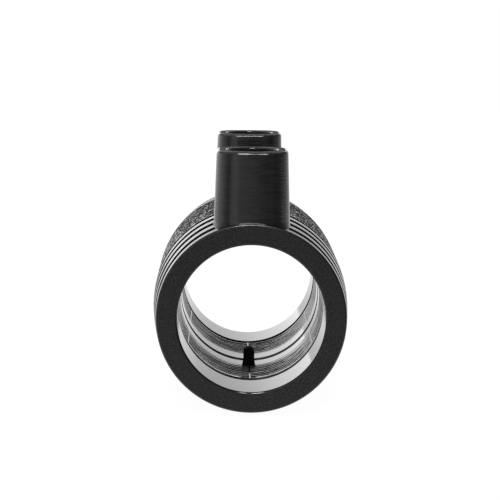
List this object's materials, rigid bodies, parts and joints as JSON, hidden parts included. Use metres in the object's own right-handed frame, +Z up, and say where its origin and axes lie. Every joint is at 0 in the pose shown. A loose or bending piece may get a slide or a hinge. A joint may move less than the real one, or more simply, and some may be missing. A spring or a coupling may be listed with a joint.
{
  "type": "electrofusion coupler",
  "caption": "Straight electrofusion coupler for polyethylene pipe: a tube with grooved tapered ends, two upright terminal shrouds and wire windings in the bore.",
  "frame": {"origin": "centre of the front socket's mouth, on the front end face", "axes": "+Y along the bore from the front socket to the rear one, +Z up through the terminals, +X to the right seen from the front"},
  "size_m": [0.0442, 0.072, 0.0583],
  "materials": {
    "black_polyethylene": "black polyethylene: satin outside with a grained barrel, glossy in the bore",
    "coated_wire": "resistance wire in a glossy black polyethylene coat",
    "terminal_brass": "turned brass, lightly tinned",
    "indicator_polyethylene": "black polyethylene, matt"
  },
  "bodies": {
    "root": {"coupler_body": "black_polyethylene", "heating_coil": "coated_wire", "terminal_pin_front": "terminal_brass", "terminal_pin_rear": "terminal_brass", "fusion_indicator_front": "indicator_polyethylene", "fusion_indicator_rear": "indicator_polyethylene"}
  },
  "joints": []
}
